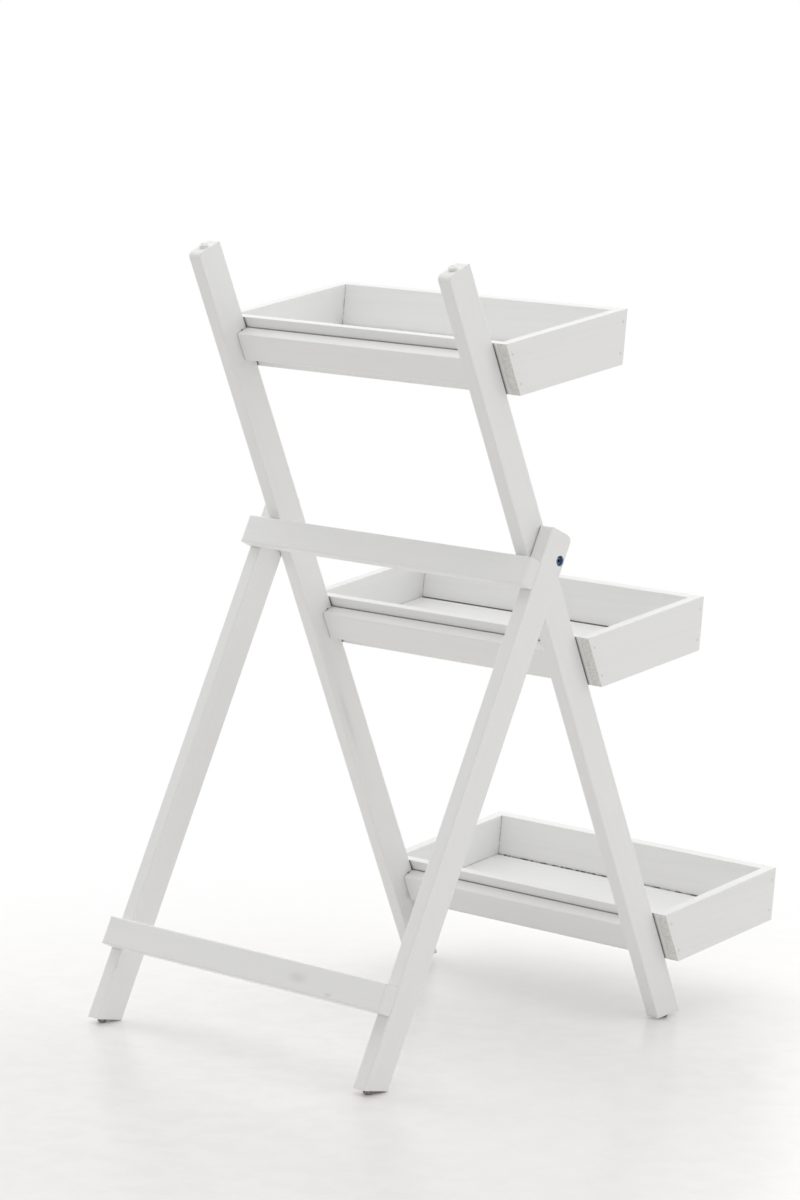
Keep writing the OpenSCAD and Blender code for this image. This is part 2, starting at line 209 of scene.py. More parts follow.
def point_along(axis):
    """4x4 matrix that lays local Z along +X (axis 1) or -X (axis -1), and keeps local Y."""
    return np.array([[0, 0, axis, 0], [0, 1, 0, 0], [-axis, 0, 0, 0], [0, 0, 0, 1.0]])


def stile_place():
    """Frame of the stiles: Y = 0 on their rear faces and Z = 0 at their lower rear corners."""
    z = bpy.context.scene.ladder_sizes
    back = z.timber_depth - z.pivot_inset
    return move(*PIVOT) @ turn_x(-z.stile_lean) @ move(0, back, -z.pivot_height)


def leg_place():
    """Frame of the rear legs, with its origin on the pivot axis."""
    return move(*PIVOT) @ turn_x(bpy.context.scene.ladder_sizes.leg_lean)


# ---------------------------------------------------------------- shapes


def grid_faces(rows, columns):
    """Faces of a grid of rows by columns points that closes on itself along the columns."""
    r, c = np.meshgrid(np.arange(rows - 1), np.arange(columns), indexing="ij")
    n = (c + 1) % columns
    quads = np.stack([r * columns + c, r * columns + n, (r + 1) * columns + n, (r + 1) * columns + c], -1)
    return quads.reshape(-1, 4).tolist()


def all_round(values, count):
    """Rows of a turned shape, each with one value that is the same at all of count turns."""
    return np.repeat(np.asarray(values, float)[:, None], count, 1)


def turned_rows(heights, radii, count):
    """Points in rows about local Z. Row i, column j is the point at radius radii[i, j] and height
    heights[i, j], turned by j / count of a full turn. A row may also be one number."""
    turn = 2 * np.pi * np.arange(count) / count
    r = np.broadcast_to(np.asarray(radii, float).reshape(len(radii), -1), (len(radii), count))
    h = np.broadcast_to(np.asarray(heights, float).reshape(len(heights), -1), (len(heights), count))
    return np.stack([r * np.cos(turn), r * np.sin(turn), h], -1)


def turned(heights, radii, count):
    """Points and faces of a closed turned solid, from the rows of turned_rows(). The first and last rows are
    closed by a point in their middle."""
    rows = turned_rows(heights, radii, count)
    points = np.concatenate([rows.reshape(-1, 3), [rows[0].mean(0), rows[-1].mean(0)]])
    faces = grid_faces(len(rows), count)
    j = np.arange(count)
    n = (j + 1) % count
    last = (len(rows) - 1) * count
    low, high = len(points) - 2, len(points) - 1
    faces += np.stack([n, j, np.full(count, low)], -1).tolist()
    faces += np.stack([last + j, last + n, np.full(count, high)], -1).tolist()
    return points, faces


def ring(heights, radii, count):
    """Points and faces of a turned ring, whose last row joins the first, so that its section is closed."""
    rows = turned_rows(heights, radii, count)
    faces = np.array(grid_faces(len(rows) + 1, count)) % (len(rows) * count)
    return rows.reshape(-1, 3), faces.tolist()


def hexagon(flats, count):
    """Radius of a hexagon of that width across its flats, at each of count equal turns from a corner on."""
    turn = 2 * np.pi * np.arange(count) / count
    return flats / 2 / np.cos((turn % (np.pi / 3)) - np.pi / 6)


def helix(heights, count, pitch):
    """Height of a V thread's flank, from 0 in the root to 1 on the crest, for each row and each turn."""
    turn = np.arange(count) / count
    phase = (np.asarray(heights)[:, None] / pitch - turn) % 1.0
    return 1 - np.abs(2 * phase - 1)


def placed(points, matrix):
    """Points moved by a 4x4 matrix."""
    return points @ matrix[:3, :3].T + matrix[:3, 3]


def pair(shape, place):
    """The same (points, faces) on both sides of the ladder, with their local Z outward along place's X."""
    points, faces = shape
    return [(placed(points, place @ point_along(side)), faces) for side in (1, -1)]


def piece(name, parts, body, material, replaces):
    """One object from (points, faces) parts that already lie in their place. It rides on a body, stands for
    its CAD node, and is smooth except where faces meet at more than 35 degrees."""
    points, faces, start = [], [], 0
    for p, f in parts:
        points.append(p)
        faces += [[i + start for i in face] for face in f]
        start += len(p)
    mesh = bpy.data.meshes.new(name)
    mesh.from_pydata(np.concatenate(points).tolist(), [], faces)
    mesh.validate()
    mesh.update()
    mesh.polygons.foreach_set("use_smooth", np.ones(len(mesh.polygons), bool))
    mesh.set_sharp_from_angle(angle=math.radians(35))
    mesh.materials.append(material)
    made = bpy.data.objects.new(name, mesh)
    bpy.context.scene.collection.objects.link(made)
    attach(made, body)
    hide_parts(replaces)
    return made


# ---------------------------------------------------------------- materials

WHITE_LIGHT = linear("#FFFFFF")

# Settings that many nodes share. Inputs are given by number where their names repeat or are long: Mapping 1
# place, 2 turn, 3 size; TexNoise 2 scale, 3 detail, 4 roughness, 8 distortion; TexWave 1 scale, 2 distortion,
# 3 to 5 its detail; TexVoronoi 2 scale; MapRange 1 and 2 from, 3 and 4 to; Mix 0 share, 6 and 7 the colours,
# with its result in output 2; Background and Emission 0 colour, 1 strength.
TIMES = {"operation": "MULTIPLY"}
TIMES_PLUS = {"operation": "MULTIPLY_ADD"}
PLUS = {"operation": "ADD"}
MINUS = {"operation": "SUBTRACT"}
DOT = {"operation": "DOT_PRODUCT"}
LENGTH = {"operation": "LENGTH"}
SMOOTH = {"interpolation_type": "SMOOTHSTEP"}
COLOURS = {"data_type": "RGBA"}


def add(tree, kind, inputs=None, out=None, **settings):
    """Adds a shader node with its settings. inputs maps an input to its value or to the socket that it reads.
    Returns the output called out, or the node where none is called for."""
    node = tree.nodes.new("ShaderNode" + kind)
    for key, value in settings.items():
        setattr(node, key, value)
    for key, value in (inputs or {}).items():
        if isinstance(value, bpy.types.NodeSocket):
            tree.links.new(value, node.inputs[key])
        else:
            node.inputs[key].default_value = value
    return node if out is None else node.outputs[out]


def new_material(name):
    """An empty node material, with its tree and its output node."""
    material = bpy.data.materials.new(name)
    material.use_nodes = True
    tree = material.node_tree
    tree.nodes.clear()
    return material, tree, add(tree, "OutputMaterial")


def lay_out(tree):
    """Sets the nodes in columns by how far each stands from the output, so that the tree can be read."""
    width, height = 220, 260
    depth = {node.name: 0 for node in tree.nodes}
    for _ in tree.nodes:
        for link in tree.links:
            depth[link.from_node.name] = max(depth[link.from_node.name], depth[link.to_node.name] + 1)
    used = {}
    for node in tree.nodes:
        column = depth[node.name]
        row = used.get(column, 0)
        node.location = (-width * column, -height * row)
        used[column] = row + 1


def finish_surface(material, tree, output, base, rough, bump, **fixed):
    """Closes a material with its one shader. fixed holds the shader's values that are the same all over."""
    inputs = {"Base Color": base, "Roughness": rough, "Normal": bump, **fixed}
    tree.links.new(add(tree, "BsdfPrincipled", inputs, 0), output.inputs[0])
    lay_out(tree)
    return material


def darker(tone, share):
    """A colour whose linear parts are brought down to that share."""
    return tuple(c * share for c in tone[:3]) + (1.0,)


def rounded_edges(tree, radius):
    """Normal of a surface whose sharp edges are rounded to radius, and its cosine to the face's own normal,
    which is 1 on a flat and falls towards an edge."""
    soft = add(tree, "Bevel", {0: radius}, 0, samples=6)
    own = add(tree, "NewGeometry", out="Normal")
    return soft, add(tree, "VectorMath", {0: soft, 1: own}, "Value", **DOT)


def floor_slit(tree, where, bridged, bridging, square, height, spacing, inward):
    """Share of the dark open line along the edge of a tray's floor board. It lies just over the floor's upper
    face, on the face that looks inward, and is broken where paint has bridged it. square is the normal of the
    floors, height the lowest floor's level along it, and spacing the step from floor to floor."""
    level = add(tree, "VectorMath", {0: where.outputs["Object"], 1: square}, "Value", **DOT)
    # the level over the nearest floor: a distance that starts again half way between two floors
    level = add(tree, "Math", {0: level, 1: height - spacing / 2}, 0, **MINUS)
    level = add(tree, "Math", {0: level, 1: spacing}, 0, operation="FLOORED_MODULO")
    level = add(tree, "Math", {0: level, 1: spacing / 2}, 0, **MINUS)
    line = add(tree, "MapRange", {0: level, 1: 1.0 * MM, 2: 0.4 * MM}, 0, **SMOOTH)
    # the line ends at the boards' lower edges, 12 mm down
    over = add(tree, "MapRange", {0: level, 1: -12 * MM, 2: -11 * MM}, 0, **SMOOTH)
    facing = add(tree, "VectorMath", {0: where.outputs["Normal"], 1: inward}, "Value", **DOT)
    facing = add(tree, "MapRange", {0: facing, 1: 0.5, 2: 0.8}, 0, **SMOOTH)
    least = 0.95 * (1 - bridging)
    still_open = add(tree, "MapRange", {0: bridged, 1: 0.42, 2: 0.56, 3: least, 4: 0.85}, 0, **SMOOTH)
    for limit in (over, facing, still_open):
        line = add(tree, "Math", {0: line, 1: limit}, 0, **TIMES)
    return line


def painted_wood(
    name, grain, raw_edge=None, stains=(), strength=1.0, joint=0.0, bridging=0.85, end_grey=1.0, slit=None
):
    """Planed pine under one brushed coat of silk-matt white emulsion.

    The eye sees a soft sheen, rings that only just lift the paint, fine marks along the brush, a few
    knots whose resin has yellowed the coat, greyer end grain, and painted shade where two pieces meet.
    grain is the direction of the fibres, stains are (point, radius, colour share) of knots seen on the
    real one, and raw_edge is the direction in which a sawn edge was left bare. strength is how much the
    rings and patches show, joint how dark the dry joints are, bridging how much of that line the paint
    has closed, end_grey how grey the end grain is, and slit the (square, height, spacing, inward) of
    floor_slit()."""
    paint = bpy.context.scene.ladder_paint
    material, tree, output = new_material(name)
    grain = Vector(grain).normalized()
    where = add(tree, "TexCoord")
    place, normal = where.outputs["Object"], where.outputs["Normal"]
    # along the fibres everything is 25 times longer than across them
    to_grain = grain.to_track_quat("Z", "X").inverted().to_euler()
    turned_to = add(tree, "Mapping", {0: place, 2: to_grain}, 0)
    fibres = add(tree, "Mapping", {0: turned_to, 3: (1.0, 1.0, 0.04)}, 0)
    # growth rings: a diagonal band repeats every pi / 5 of the summed coordinates, bent by a strong noise
    ring_scale = math.pi / 5 / math.sqrt(2) / paint.ring_spacing
    bent = {0: fibres, 1: ring_scale, 2: 9.0, 3: 2.0, 4: 0.35, 5: 0.6}
    bands = add(tree, "TexWave", bent, "Fac", wave_type="BANDS", bands_direction="DIAGONAL")
    # drift and blotch change over 18 and 50 mm, and the orange-peel of the dried coat over 2 mm
    drift = add(tree, "TexNoise", {0: fibres, 2: 1 / 0.018, 3: 2.0, 4: 0.5}, "Fac")
    blotch = add(tree, "TexNoise", {0: fibres, 2: 1 / 0.05, 3: 3.0, 4: 0.55}, "Fac")
    brush = add(tree, "TexNoise", {0: fibres, 2: 1 / paint.brush_spacing, 3: 3.0, 4: 0.6}, "Fac")
    peel = add(tree, "TexNoise", {0: place, 2: 1 / 0.002, 3: 1.0}, "Fac")

    crests = add(tree, "MapRange", {0: bands, 1: 0.35, 2: 0.95}, 0, **SMOOTH)
    kept = add(tree, "MapRange", {0: drift, 1: 0.4, 2: 0.62}, 0, **SMOOTH)
    rings = add(tree, "Math", {0: crests, 1: kept}, 0, **TIMES)
    thin = add(tree, "Math", {0: rings, 1: 0.10 * strength}, 0, **TIMES)
    patch = add(tree, "MapRange", {0: blotch, 1: 0.52, 2: 0.78, 4: 0.16 * strength}, 0, **SMOOTH)

    # knots and resin streaks: one cell in three of a 45 mm by 410 mm net holds one, 5 to 14 mm across and
    # nine times as long, with a faint halo
    net = add(tree, "Mapping", {0: turned_to, 1: (0.31, 0.17, 0.4), 3: (1.0, 1.0, 0.11)}, 0)
    cells = add(tree, "TexVoronoi", {0: net, 2: 1 / 0.045}, voronoi_dimensions="3D")
    lot = add(tree, "SeparateColor", {0: cells.outputs["Color"]}, 0)
    holds = add(tree, "MapRange", {0: lot, 1: 0.62, 2: 0.66}, 0, **SMOOTH)
    away = cells.outputs["Distance"]
    core = add(tree, "MapRange", {0: away, 1: 0.05, 2: 0.16, 3: 1.0, 4: 0.0}, 0, **SMOOTH)
    core = add(tree, "Math", {0: core, 1: holds}, 0, **TIMES)
    halo = add(tree, "MapRange", {0: away, 1: 0.05, 2: 0.40, 3: 0.06, 4: 0.0}, 0, **SMOOTH)
    halo = add(tree, "Math", {0: halo, 1: holds}, 0, **TIMES)
    bleed = add(tree, "Math", {0: core, 1: 0.18, 2: halo}, 0, **TIMES_PLUS)
    for point, radius, amount in stains:
        away = add(tree, "VectorMath", {0: place, 1: point}, 0, **MINUS)
        away = add(tree, "Mapping", {0: away, 2: to_grain}, 0)
        drawn = add(tree, "Mapping", {0: away, 3: (1.0, 1.0, 0.45)}, 0)
        reach = add(tree, "VectorMath", {0: drawn}, "Value", **LENGTH)
        ragged = add(tree, "Math", {0: blotch, 1: radius * 0.9, 2: reach}, 0, **TIMES_PLUS)
        fading = {0: ragged, 1: radius * 0.35, 2: radius * 1.35, 3: amount, 4: 0.0}
        spot = add(tree, "MapRange", fading, 0, **SMOOTH)
        bleed = add(tree, "Math", {0: bleed, 1: spot}, 0, **PLUS)

    # where a face looks along the fibres it is end grain, which drinks the paint
    along = add(tree, "VectorMath", {0: normal, 1: grain}, "Value", **DOT)
    along = add(tree, "Math", {0: along}, 0, operation="ABSOLUTE")
    end = add(tree, "MapRange", {0: along, 1: 0.80, 2: 0.92}, 0, **SMOOTH)
    pores = add(tree, "TexNoise", {0: place, 2: 1 / 0.0035, 3: 4.0, 4: 0.7}, "Fac")
    grey = add(tree, "MapRange", {0: pores, 1: 0.35, 2: 0.65, 3: 0.3 * end_grey, 4: end_grey}, 0, **SMOOTH)
    sunk = add(tree, "Math", {0: end, 1: grey}, 0, **TIMES)

    # sharp edges: where the rounded normal leaves the face's own, the coat is thin, and a few chips are bare
    soft, flat = rounded_edges(tree, paint.arris)
    edge = add(tree, "MapRange", {0: flat, 1: 0.99, 2: 0.90}, 0, **SMOOTH)
    wear = add(tree, "TexNoise", {0: place, 2: 1 / 0.012, 3: 5.0, 4: 0.65}, "Fac")
    rubbed = add(tree, "MapRange", {0: wear, 1: 0.50, 2: 0.62, 4: 0.35}, 0, **SMOOTH)
    rubbed = add(tree, "Math", {0: edge, 1: rubbed}, 0, **TIMES)
    chips = add(tree, "MapRange", {0: wear, 1: 0.70, 2: 0.735, 4: 0.8}, 0, **SMOOTH)
    chips = add(tree, "Math", {0: edge, 1: chips}, 0, **TIMES)

    # painted shade in the corners and joints, where other surfaces hem the face in, over the last 7 mm
    open_air = add(tree, "AmbientOcclusion", {"Distance": 7 * MM}, "AO", samples=6)
    shade_share = add(tree, "MapRange", {0: open_air, 1: 0.75, 2: 0.15, 4: 0.45}, 0, **SMOOTH)

    # each coat goes over those before it by its share
    coats = [
        (thin, paint.thin_white),
        (patch, paint.thin_white),
        (bleed, paint.knot_stain),
        (sunk, paint.end_grain),
        (rubbed, paint.thin_white),
        (chips, paint.bare_wood),
        # painted shade in the corners and joints
        (shade_share, paint.painted_shade),
    ]
    # high where paint has left a joint open, in stretches of about 9 mm
    bridged = add(tree, "TexNoise", {0: place, 2: 1 / 0.009, 3: 3.0, 4: 0.7}, "Fac")
    if joint > 0:
        # a dry joint shows as a thin dark line over the last 1 mm
        tight = add(tree, "AmbientOcclusion", {"Distance": 2.6 * MM}, "AO", samples=8)
        line = add(tree, "MapRange", {0: tight, 1: 0.80, 2: 0.56}, 0, **SMOOTH)
        breaks = {0: bridged, 1: 0.40, 2: 0.56, 3: (1 - bridging) * joint, 4: joint}
        breaks = add(tree, "MapRange", breaks, 0, **SMOOTH)
        coats.append((add(tree, "Math", {0: line, 1: breaks}, 0, **TIMES), paint.joint_line))
    if slit is not None:
        coats.append((floor_slit(tree, where, bridged, bridging, *slit), paint.joint_line))
    if raw_edge is not None:
        bare = add(tree, "VectorMath", {0: normal, 1: Vector(raw_edge)}, "Value", **DOT)
        coats.append((add(tree, "MapRange", {0: bare, 1: 0.6, 2: 0.8}, 0, **SMOOTH), paint.raw_edge))
    base = tuple(paint.white)
    for cover, tone in coats:
        base = add(tree, "Mix", {0: cover, 6: base, 7: tuple(tone)}, 2, **COLOURS)

    pits = add(tree, "Math", {0: sunk, 1: pores}, 0, **TIMES)
    heights = [(rings, 0.55), (brush, 0.45), (peel, 0.20), (core, 0.60), (pits, 1.2), (chips, -1.5)]
    relief = 0.0
    for height, weight in heights:
        relief = add(tree, "Math", {0: height, 1: weight, 2: relief}, 0, **TIMES_PLUS)
    bump = add(tree, "Bump", {"Strength": 0.6, "Distance": 0.07 * MM, "Height": relief, "Normal": soft}, 0)
    dull = add(tree, "Math", {0: end, 1: 0.5, 2: drift}, 0, **TIMES_PLUS)
    dull = add(tree, "MapRange", {0: dull, 1: 0.3, 2: 1.1, 3: 0.40, 4: 0.60}, 0, **SMOOTH)
    return finish_surface(material, tree, output, base, dull, bump, IOR=1.48)


def metal(name, tone, roughness, cloud_size, wear_tone, inside=None):
    """Plated or blued steel: a metal whose coat varies a little in depth, with fine tool marks and brighter
    edges. inside (radius, tone) gives the other tone that it has within that distance of the pivot's axis."""
    material, tree, output = new_material(name)
    place = add(tree, "TexCoord", out="Object")
    cloud = add(tree, "TexNoise", {0: place, 2: 1 / cloud_size, 3: 4.0, 4: 0.6}, "Fac")
    fine = add(tree, "TexNoise", {0: place, 2: 1 / 0.0003, 3: 2.0}, "Fac")
    deep = add(tree, "MapRange", {0: cloud, 1: 0.35, 2: 0.7}, 0, **SMOOTH)
    soft, flat = rounded_edges(tree, 0.25 * MM)
    bright = add(tree, "MapRange", {0: flat, 1: 0.99, 2: 0.88, 4: 0.6}, 0, **SMOOTH)
    coats = [(deep, darker(tone, 0.6)), (bright, wear_tone)]
    # the inner tone is painted light: painted shade in a bolt's socket, and a painted reflection on a cup's
    # inner wall
    if inside is not None:
        radius, inner_tone = inside
        away = add(tree, "VectorMath", {0: place, 1: PIVOT}, 0, **MINUS)
        across = add(tree, "VectorMath", {0: away, 1: (0, 1, 1)}, 0, **TIMES)
        reach = add(tree, "VectorMath", {0: across}, "Value", **LENGTH)
        within = add(tree, "MapRange", {0: reach, 1: radius + 0.1 * MM, 2: radius - 0.1 * MM}, 0, **SMOOTH)
        coats.append((within, tuple(inner_tone)))
    base = tuple(tone)
    for cover, coat in coats:
        base = add(tree, "Mix", {0: cover, 6: base, 7: coat}, 2, **COLOURS)
    rough = {0: cloud, 1: 0.3, 2: 0.75, 3: roughness * 0.8, 4: roughness * 1.3}
    rough = add(tree, "MapRange", rough, 0, **SMOOTH)
    bump = add(tree, "Bump", {"Strength": 0.35, "Distance": 0.03 * MM, "Height": fine, "Normal": soft}, 0)
    return finish_surface(material, tree, output, base, rough, bump, Metallic=1.0)


def zinc_plate():
    """Bright zinc plate over steel, made once: cold grey with a cloudy bloom a few millimetres wide."""
    made = bpy.data.materials.get("bright_zinc_plate")
    zinc = bpy.context.scene.ladder_fixings.zinc
    return made or metal("bright_zinc_plate", zinc, 0.3, 3 * MM, linear("#E4E6E8"))


def moulded_plastic(name, tone, roughness, darkest):
    """Moulded polyethylene of a nail-on glide: smooth and a little waxy, with fine scratches, and on the
    floor glides a brown-grey layer of soil from the floor pressed into the face. darkest is the share of
    light that the most soiled patches, 4 mm wide, still give back."""
    material, tree, output = new_material(name)
    place = add(tree, "TexCoord", out="Object")
    scratch = add(tree, "TexNoise", {0: place, 2: 1 / 0.0006, 3: 4.0, 4: 0.7, 8: 1.5}, "Fac")
    patch = add(tree, "TexNoise", {0: place, 2: 1 / 0.004, 3: 4.0, 4: 0.6}, "Fac")
    patch = add(tree, "MapRange", {0: patch, 1: 0.4, 2: 0.65}, 0, **SMOOTH)
    base = add(tree, "Mix", {0: patch, 6: tuple(tone), 7: darker(tone, darkest)}, 2, **COLOURS)
    rough = {0: scratch, 1: 0.4, 2: 0.7, 3: roughness, 4: roughness + 0.25}
    rough = add(tree, "MapRange", rough, 0, **SMOOTH)
    bump = add(tree, "Bump", {"Strength": 0.4, "Distance": 0.04 * MM, "Height": scratch}, 0)
    return finish_surface(material, tree, output, base, rough, bump, IOR=1.5)


def bare_beech(name, tone):
    """Bare beech of a pressed dowel: pale pink-brown with dark flecks 0.4 mm wide and 2.7 mm long."""
    material, tree, output = new_material(name)
    place = add(tree, "TexCoord", out="Object")
    along = add(tree, "Mapping", {0: place, 3: (0.15, 1.0, 1.0)}, 0)
    fleck = add(tree, "TexNoise", {0: along, 2: 1 / 0.0004, 3: 3.0, 4: 0.6}, "Fac")
    dark = add(tree, "MapRange", {0: fleck, 1: 0.5, 2: 0.68}, 0, **SMOOTH)
    base = add(tree, "Mix", {0: dark, 6: tuple(tone), 7: darker(tone, 0.72)}, 2, **COLOURS)
    bump = add(tree, "Bump", {"Strength": 0.5, "Distance": 0.05 * MM, "Height": fleck}, 0)
    return finish_surface(material, tree, output, base, 0.62, bump)


def painted_steel(name, tone):
    """Nail heads under the same coat as the boards: nearly white, greyer in soft patches 2 mm wide."""
    material, tree, output = new_material(name)
    place = add(tree, "TexCoord", out="Object")
    patch = add(tree, "TexNoise", {0: place, 2: 1 / 0.002, 3: 2.0}, "Fac")
    grey = add(tree, "MapRange", {0: patch, 1: 0.35, 2: 0.7}, 0, **SMOOTH)
    base = add(tree, "Mix", {0: grey, 6: tuple(tone), 7: darker(tone, 0.9)}, 2, **COLOURS)
    bump = add(tree, "Bump", {"Strength": 0.4, "Distance": 0.05 * MM, "Height": patch}, 0)
    return finish_surface(material, tree, output, base, 0.45, bump, IOR=1.48)


def seen_directly(tree):
    """Socket that is 1 for what the camera sees, also in a mirror or through glass, and 0 for other light."""
    path = add(tree, "LightPath")
    seen = path.outputs["Is Camera Ray"]
    for ray in ("Is Glossy Ray", "Is Transmission Ray"):
        seen = add(tree, "Math", {0: seen, 1: path.outputs[ray]}, 0, operation="MAXIMUM")
    return seen


def studio_floor(tone):
    """Smooth painted floor: pale warm grey with a blurred reflection, fading into a white backdrop."""
    material, tree, output = new_material("painted_floor")
    place = add(tree, "TexCoord", out="Object")
    # two tones that drift over 0.6 m, and a trowelled mottle 45 mm wide
    cloud = add(tree, "TexNoise", {0: place, 2: 1 / 0.6, 3: 3.0, 4: 0.5}, "Fac")
    mottle = add(tree, "TexNoise", {0: place, 2: 1 / 0.045, 3: 4.0, 4: 0.6}, "Fac")
    base = tuple(tone)
    for patch, low, high, share in ((cloud, 0.35, 0.65, 0.985), (mottle, 0.40, 0.62, 0.965)):
        cover = add(tree, "MapRange", {0: patch, 1: low, 2: high}, 0, **SMOOTH)
        base = add(tree, "Mix", {0: cover, 6: base, 7: darker(tone, share)}, 2, **COLOURS)
    # under 0.27 everywhere, past which a denoised picture shows a thin line where the value crosses it
    rough = add(tree, "MapRange", {0: cloud, 1: 0.3, 2: 0.7, 3: 0.24, 4: 0.265}, 0, **SMOOTH)
    paint = add(tree, "BsdfPrincipled", {"Base Color": base, "Roughness": rough, "IOR": 1.4}, 0)
    white = add(tree, "Emission", {0: WHITE_LIGHT, 1: 1.0}, 0)
    # the white takes over from 0.35 m to 1.5 m from the middle of the ladder's shadow
    away = add(tree, "VectorMath", {0: place, 1: (-0.32, 0.33, 0.0)}, 0, **MINUS)
    away = add(tree, "VectorMath", {0: away}, "Value", **LENGTH)
    fade = add(tree, "MapRange", {0: away, 1: 0.35, 2: 1.5}, 0, **SMOOTH)
    fade = add(tree, "Math", {0: seen_directly(tree), 1: fade}, 0, **TIMES)
    both = add(tree, "MixShader", {0: fade, 1: paint, 2: white}, 0)
    tree.links.new(both, output.inputs[0])
    lay_out(tree)
    return material


def wear_finish(node, material):
    """Gives a CAD node a material in place of its plain one."""
    for place in frame["nodes"][node].material_slots:
        place.material = material


# ---------------------------------------------------------------- operators


class LADDER_OT_timber(bpy.types.Operator):
    """Paints the stiles, rails, legs and bars, each with its grain along its length"""

    bl_idname = "ladder.timber"
    bl_label = "Timber"

    def execute(self, context):
        sizes = context.scene.ladder_sizes
        up_stile = (0, math.sin(sizes.stile_lean), math.cos(sizes.stile_lean))
        up_leg = (0, -math.sin(sizes.leg_lean), math.cos(sizes.leg_lean))
        rail_front = (0, -math.cos(sizes.stile_lean), math.sin(sizes.stile_lean))
        # knots that show through the coat on the real one: on the far stile and leg, and on the lower bar
        knots = [((0.204, -0.155, 0.095), 0.006, 0.45), ((0.204, -0.166, 0.080), 0.004, 0.35)]
        stile = painted_wood("painted_pine_stile", up_stile, stains=knots, strength=0.6, end_grey=0.12)
        knots = [((0.225, 0.346, 0.072), 0.005, 0.30)]
        leg = painted_wood("painted_pine_leg", up_leg, stains=knots, strength=0.6, end_grey=0.12)
        knots = [((-0.1, 0.346, 0.114), 0.011, 0.24), ((-0.157, 0.351, 0.104), 0.005, 0.32)]
        bar = painted_wood("painted_pine_bar", (1, 0, 0), stains=knots, strength=0.6, end_grey=0.12)
        rail = painted_wood(
            "painted_pine_rail", (1, 0, 0), rail_front, strength=0.6, joint=0.5, bridging=0.1, end_grey=0.12
        )
        for side in ("left", "right"):
            wear_finish("stile_" + side, stile)
            wear_finish("rear_leg_" + side, leg)
        for level in LEVELS:
            wear_finish("tray_rail_" + level, rail)
        for node in ("upper_bar", "lower_bar"):
            wear_finish(node, bar)
        return {"FINISHED"}


class LADDER_OT_trays(bpy.types.Operator):
    """Paints the boards of the three trays, and leaves the floor boards' front edges sawn and bare"""

    bl_idname = "ladder.trays"
    bl_label = "Tray boards"

    def execute(self, context):
        sizes = context.scene.ladder_sizes
        tilt = sizes.tray_tilt
        depth = (0, -math.cos(tilt), math.sin(tilt))
        square = (0, math.sin(tilt), math.cos(tilt))
        # the trays repeat along the stiles, so their floors lie at even steps square to the floors
        spacing = sizes.tray_pitch * math.cos(sizes.stile_lean - tilt)
        side = painted_wood("painted_board_side", depth, joint=0.4)
        closed_side = painted_wood("painted_board_side_closed", depth, joint=0.12)
        slit = (square, sizes.floor_level, spacing, (0, 1, 0))
        front = painted_wood("painted_board_front", (1, 0, 0), joint=0.4, slit=slit)
        open_front = painted_wood("painted_board_front_open", (1, 0, 0), joint=0.3, bridging=0.1, slit=slit)
        rear = painted_wood("painted_board_rear", (1, 0, 0), joint=0.5, bridging=0.1)
        floor = painted_wood("painted_board_floor", (1, 0, 0), raw_edge=depth, strength=1.5, joint=0.5)
        for level in LEVELS:
            for name in ("left_side", "right_side"):
                wear_finish(f"tray_{level}_{name}", closed_side if level == "middle" else side)
            wear_finish(f"tray_{level}_front", open_front if level == "middle" else front)
            wear_finish(f"tray_{level}_rear", rear)
            wear_finish(f"tray_{level}_floor", floor)
        return {"FINISHED"}


class LADDER_OT_pivot_bolts(bpy.types.Operator):
    """Turns the two pivot bolts: domed heads with a hexagon socket, and threaded shanks"""

    bl_idname = "ladder.pivot_bolts"
    bl_label = "Pivot bolts"

    def execute(self, context):
        sizes, fixings = context.scene.ladder_sizes, context.scene.ladder_fixings
        n = fixings.around
        leg_out = sizes.stile_out + sizes.leg_gap + sizes.timber_width
        # under the head lie the cup's floor, 1 mm thick, and 0.2 mm of air
        seat = leg_out - sizes.recess_depth + 1.2 * MM
        tip = sizes.stile_out - 12 * MM
        # from the tip to the seat: a chamfered start, then the thread, then a plain neck
        shank = np.linspace(tip, seat, int((seat - tip) / fixings.thread_pitch * 5))
        core = 2.45 * MM + 0.53 * MM * helix(shank, n, fixings.thread_pitch)
        neck = shank > sizes.stile_out + 4 * MM
        core[neck] = 2.98 * MM
        core = np.minimum(core, (1.9 * MM + (shank - tip))[:, None])
        # head: rounded under-edge, domed top, chamfered socket, flat socket floor
        rim = np.radians(np.linspace(-80, 80, 9))
        side_r = 4.25 * MM + 0.5 * MM * np.cos(rim)
        side_h = seat + 1.0 * MM + 0.95 * MM * np.sin(rim)
        dome_r = np.linspace(4.2, 2.75, 6) * MM
        dome_h = seat + 3.0 * MM - (dome_r / (4.3 * MM)) ** 4 * 0.95 * MM
        socket_h = seat + np.array([2.7, 1.05, 1.0]) * MM
        socket_r = np.outer([1.02, 1.0, 0.94], hexagon(4 * MM, n))
        heights = np.concatenate([shank, side_h, dome_h, socket_h])
        radii = np.concatenate([core, all_round(side_r, n), all_round(dome_r, n), socket_r])
        parts = pair(turned(heights, radii, n), leg_place())
        # the socket is painted dark blue, a painted shade inside it, and the dome above it is bright
        painted_socket_shade = (2.45 * MM, fixings.socket_shade_blue)
        blued = metal("blued_steel", fixings.blue_black, 0.24, 2 * MM, linear("#A9C4E2"), painted_socket_shade)
        piece("pivot_bolt_pair", parts, "front_ladder", blued, "pivot_bolts")
        return {"FINISHED"}


